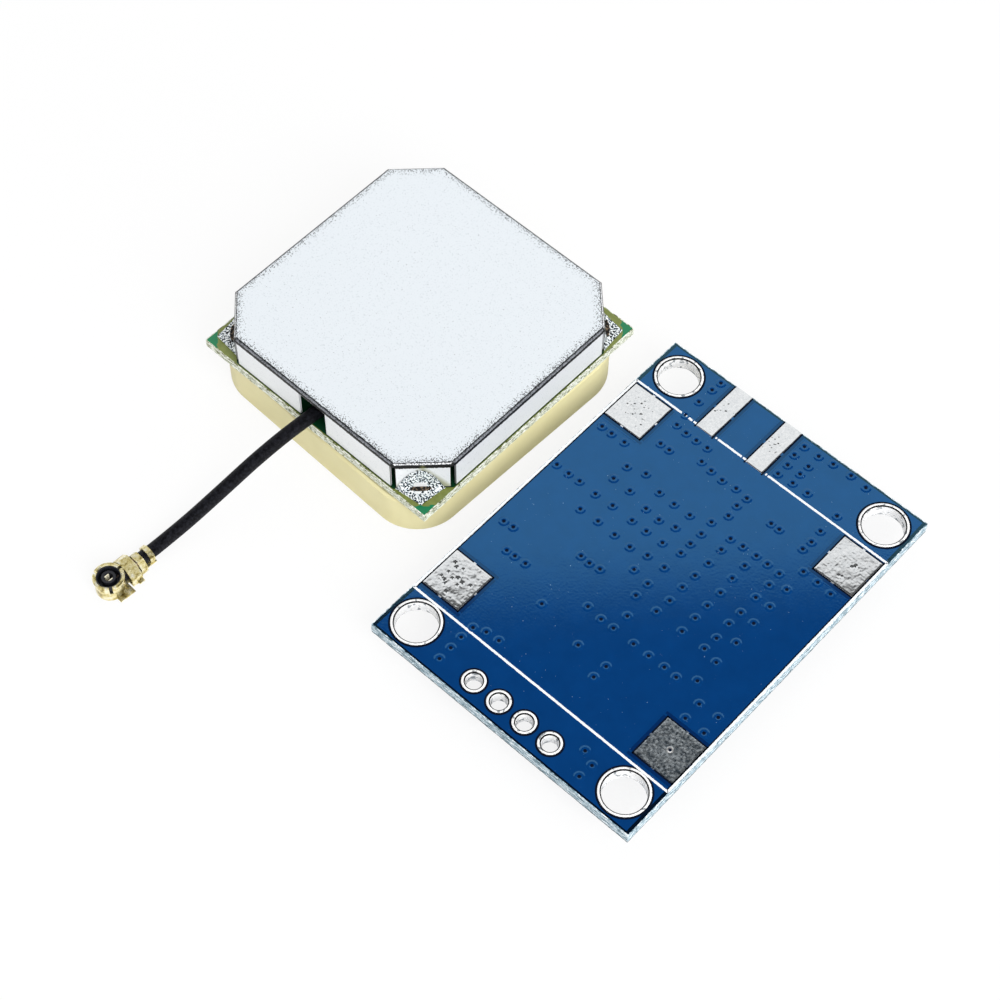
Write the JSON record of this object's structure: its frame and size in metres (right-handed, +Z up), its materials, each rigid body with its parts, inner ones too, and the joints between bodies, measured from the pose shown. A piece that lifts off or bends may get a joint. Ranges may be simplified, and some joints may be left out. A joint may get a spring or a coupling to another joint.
{
  "type": "gps module",
  "caption": "Blue receiver board lying components down, beside its ceramic patch antenna with a shield can and a short coax lead ending in a small gold plug.",
  "frame": {"origin": "on the surface that the module lies on, under the middle of the receiver board, on the face of the receiver's shield", "axes": "+X along the board's short edge away from the antenna, +Y along its long edge towards the antenna socket, +Z up out of the board's bare face"},
  "size_m": [0.0534, 0.047, 0.0085],
  "materials": {
    "black_moulding": "matte black moulding",
    "blue_board": "blue solder mask over glass fibre, pale sawn edges",
    "can_steel": "frosted tinned steel sheet",
    "chip_black": "matte moulding compound",
    "chip_ceramic": "sintered ceramic",
    "copper_wire": "tinned copper wire",
    "core_insulation": "clear white fluoropolymer",
    "drawn_steel": "drawn nickel-silver cover",
    "foam_tape": "white foam tape",
    "gold_plate": "gold-plated bronze sheet",
    "green_board": "green solder mask over glass fibre, pale sawn edges",
    "lamp_clear": "clear epoxy",
    "lead_rubber": "satin black jacket",
    "patch_ceramic": "cream ceramic, unglazed",
    "printed_silver": "fired silver paste",
    "solder": "grainy solder fillets",
    "tinned_copper": "hot-air levelled tin, slightly uneven",
    "white_moulding": "white liquid-crystal polymer"
  },
  "bodies": {
    "root": {"adhesive_tape": "foam_tape", "amplifier_chips": "chip_black", "amplifier_leads": "tinned_copper", "antenna_board": "green_board", "antenna_chip_ends": "tinned_copper", "antenna_chip_parts": "chip_ceramic", "antenna_corner_pads": "tinned_copper", "backup_cell": "drawn_steel", "cell_tabs": "drawn_steel", "ceramic_patch": "patch_ceramic", "charging_diode": "chip_black", "chip_capacitors": "chip_ceramic", "chip_end_caps": "tinned_copper", "chip_resistors": "chip_black", "corner_pads": "tinned_copper", "corner_solder": "solder", "diode_leads": "tinned_copper", "edge_lands": "tinned_copper", "edge_pads": "tinned_copper", "feed_pin": "copper_wire", "feed_pin_solder": "solder", "frequency_filter": "chip_ceramic", "ground_electrode": "printed_silver", "header_hole_plating": "tinned_copper", "lead_braid": "copper_wire", "lead_core": "copper_wire", "lead_insulation": "core_insulation", "lead_jacket": "lead_rubber", "lead_solder": "solder", "main_board": "blue_board", "memory_body": "chip_black", "memory_leads": "tinned_copper", "mounting_hole_plating": "tinned_copper", "plug_contact": "gold_plate", "plug_insert": "black_moulding", "plug_shell": "gold_plate", "radiator_electrode": "printed_silver", "receiver_board": "blue_board", "receiver_shield": "drawn_steel", "regulator_body": "chip_black", "regulator_leads": "tinned_copper", "shield_can": "can_steel", "socket_base": "white_moulding", "socket_pin": "gold_plate", "socket_shell": "gold_plate", "status_light_base": "white_moulding", "status_light_lens": "lamp_clear"}
  },
  "joints": []
}
